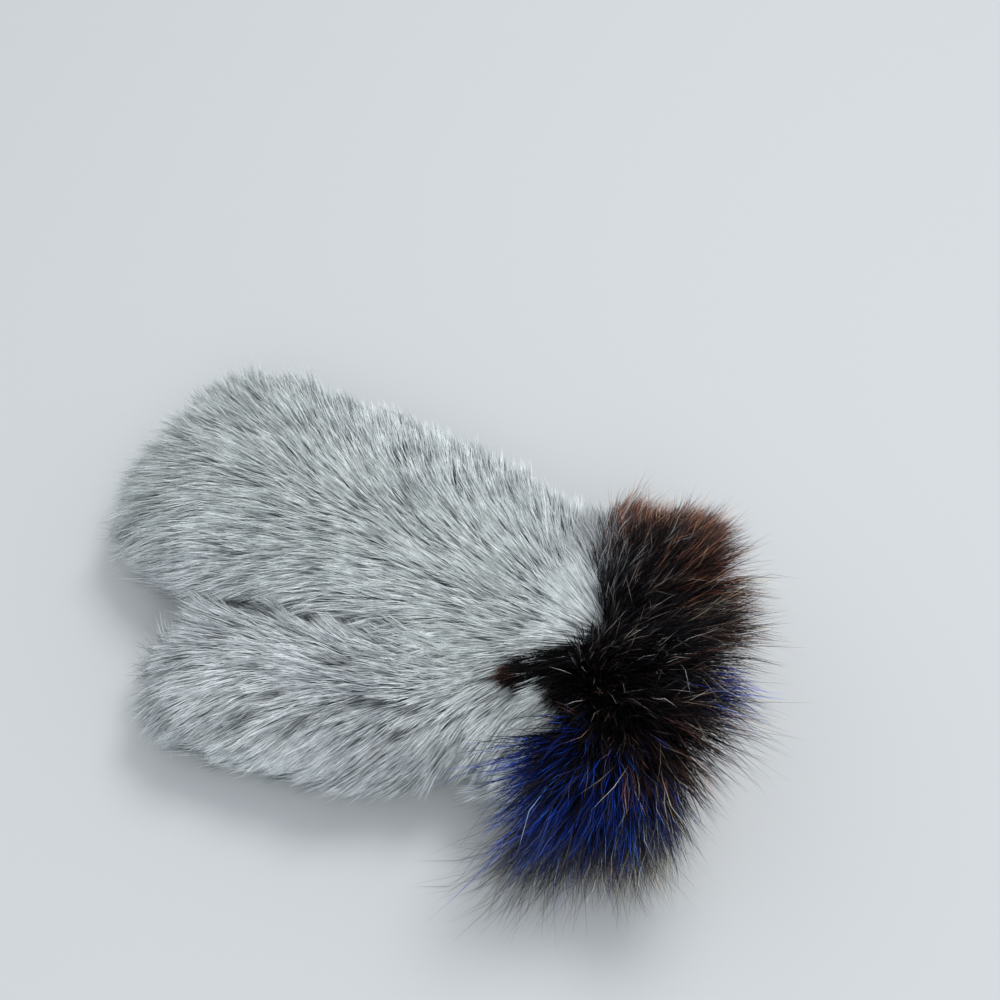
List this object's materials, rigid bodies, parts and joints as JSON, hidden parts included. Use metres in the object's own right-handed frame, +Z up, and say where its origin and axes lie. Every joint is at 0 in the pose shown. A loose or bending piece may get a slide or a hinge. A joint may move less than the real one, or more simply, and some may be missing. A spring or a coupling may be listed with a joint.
{
  "type": "fur mitten",
  "caption": "Right-hand fur mitten lying palm down: a hollow hand bag and thumb bag of short fur, with a deep ruff of long fur round the open wrist.",
  "frame": {"origin": "on the flat underside of the palm, half way from the fingertips to the wrist seam, at floor level", "axes": "+X out of the wrist opening along the hand, -Y towards the thumb, +Z up from the palm to the back of the hand"},
  "size_m": [0.2951, 0.1904, 0.0819],
  "materials": {
    "silver_fur": "short dense silver-grey fur, soft sheen",
    "dyed_fur": "long black fur with rust, blue and olive dyed tips"
  },
  "bodies": {
    "root": {"hand_pelt": "silver_fur", "thumb_pelt": "silver_fur", "fur_cuff": "dyed_fur"}
  },
  "joints": []
}
